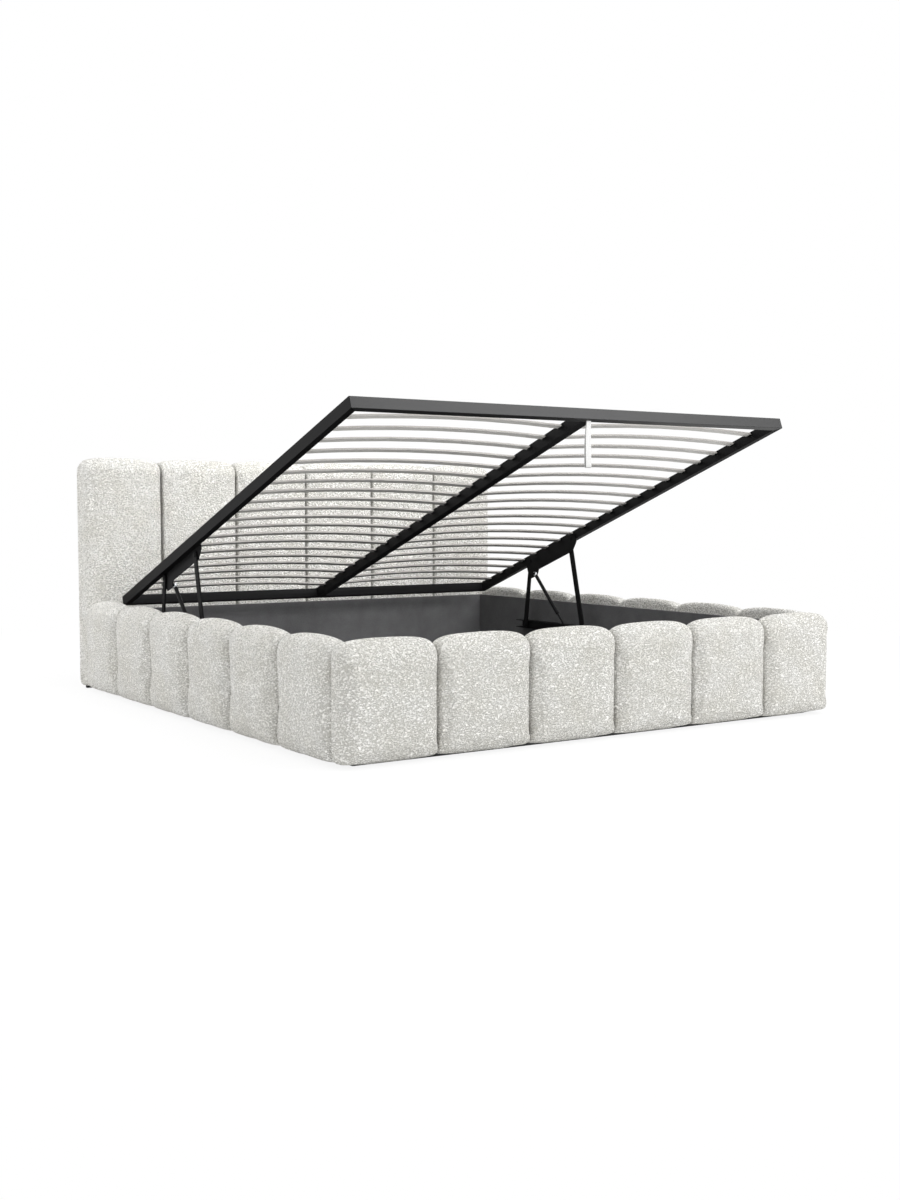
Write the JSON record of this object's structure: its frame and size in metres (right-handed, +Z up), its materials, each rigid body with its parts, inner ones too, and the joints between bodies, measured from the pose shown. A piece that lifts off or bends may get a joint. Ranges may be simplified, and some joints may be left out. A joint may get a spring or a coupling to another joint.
{
  "type": "upholstered storage bed",
  "caption": "Channel-padded boucle bed with a storage box under a lifting sprung-slat deck carried on folding arms and gas struts.",
  "frame": {"origin": "On the floor under the middle of the whole bed's box.", "axes": "+X to the right when looking from the foot end to the headboard, +Y toward the headboard, +Z up."},
  "size_m": [2.05, 2.23, 1.0722],
  "materials": {
    "boucle": "off-white boucle, rough and nubbly",
    "box_board": "dark grey faced board, matt",
    "floor_board": "dark grey hardboard, matt",
    "raw_wood": "planed softwood",
    "black_steel": "satin black powder coat",
    "slat": "grey-brown foil on bent wood, black holders",
    "bright_steel": "polished rod",
    "webbing": "light grey woven webbing"
  },
  "bodies": {
    "bed_base": {"headboard_cushion": "boucle", "footboard_cushion": "boucle", "side_cushion_left": "boucle", "side_cushion_right": "boucle", "headboard_back_panel": "boucle", "head_panel": "box_board", "footboard_board": "box_board", "side_board_left": "box_board", "side_board_right": "box_board", "storage_floor_left": "floor_board", "storage_floor_right": "floor_board", "floor_batten_middle": "raw_wood", "floor_batten_left": "raw_wood", "floor_batten_right": "raw_wood", "corner_bracket_foot_left": "black_steel", "corner_bracket_foot_right": "black_steel", "corner_bracket_head_left": "black_steel", "corner_bracket_head_right": "black_steel", "base_channel_left": "black_steel", "base_channel_right": "black_steel"},
    "base_bars": {"sliding_base_bar_left": "black_steel", "sliding_base_bar_right": "black_steel"},
    "rear_arms": {"rear_lift_arm_left": "black_steel", "rear_lift_arm_right": "black_steel"},
    "front_arms": {"front_lift_arm_left": "black_steel", "front_lift_arm_right": "black_steel"},
    "deck": {"deck_foot_rail": "black_steel", "deck_head_rail": "black_steel", "deck_side_rail_left": "black_steel", "deck_side_rail_right": "black_steel", "deck_centre_rail": "black_steel", "slat_row_01": "slat", "slat_row_02": "slat", "slat_row_03": "slat", "slat_row_04": "slat", "slat_row_05": "slat", "slat_row_06": "slat", "slat_row_07": "slat", "slat_row_08": "slat", "slat_row_09": "slat", "slat_row_10": "slat", "slat_row_11": "slat", "slat_row_12": "slat", "slat_row_13": "slat", "slat_row_14": "slat", "slat_row_15": "slat", "slat_row_16": "slat", "slat_row_17": "slat", "slat_row_18": "slat", "slat_row_19": "slat", "slat_row_20": "slat", "lift_bracket_left": "black_steel", "lift_bracket_right": "black_steel"},
    "strut_cylinders": {"gas_strut_cylinder_left": "black_steel", "gas_strut_cylinder_right": "black_steel"},
    "strut_rods": {"gas_strut_rod_left": "bright_steel", "gas_strut_rod_right": "bright_steel"},
    "pull_strap": {"pull_strap": "webbing"}
  },
  "joints": [
    {"name": "deck_lift", "type": "hinge", "parent": "rear_arms", "child": "deck", "pos_m": [0, 0.52339, 0.48285], "axis": [1, 0, 0], "range_deg": [0, 99.24]},
    {"name": "rear_arm_swing", "type": "hinge", "parent": "base_bars", "child": "rear_arms", "pos_m": [0, 0.5577, 0.2163], "axis": [1, 0, 0], "range_deg": [-79.18, 0]},
    {"name": "base_bar_slide", "type": "slide", "parent": "bed_base", "child": "base_bars", "axis": [0, 1, 0], "range_m": [-0.24795, 0]},
    {"name": "front_arm_swing", "type": "hinge", "parent": "base_bars", "child": "front_arms", "pos_m": [0, 0.1457, 0.2163], "axis": [1, 0, 0], "range_deg": [-65.58, 0]},
    {"name": "strut_swing", "type": "hinge", "parent": "deck", "child": "strut_cylinders", "pos_m": [0, 0.46667, 0.4529], "axis": [1, 0, 0], "range_deg": [-58.71, 0]},
    {"name": "strut_stroke", "type": "slide", "parent": "strut_cylinders", "child": "strut_rods", "axis": [0, -0.6968, -0.7172], "range_m": [-0.04223, 0]},
    {"name": "pull_strap_swing", "type": "hinge", "parent": "deck", "child": "pull_strap", "pos_m": [0, -0.95169, 1.02774], "axis": [1, 0, 0], "range_deg": [-20.07, 45]}
  ],
  "couplings": [
    {"joint": "rear_arm_swing", "follows": "deck_lift", "ratio": -0.79775},
    {"joint": "base_bar_slide", "follows": "deck_lift", "m_per_rad": -0.1431},
    {"joint": "front_arm_swing", "follows": "deck_lift", "ratio": -0.66079},
    {"joint": "strut_swing", "follows": "deck_lift", "ratio": -0.59155},
    {"joint": "strut_stroke", "follows": "deck_lift", "m_per_rad": -0.024326}
  ]
}
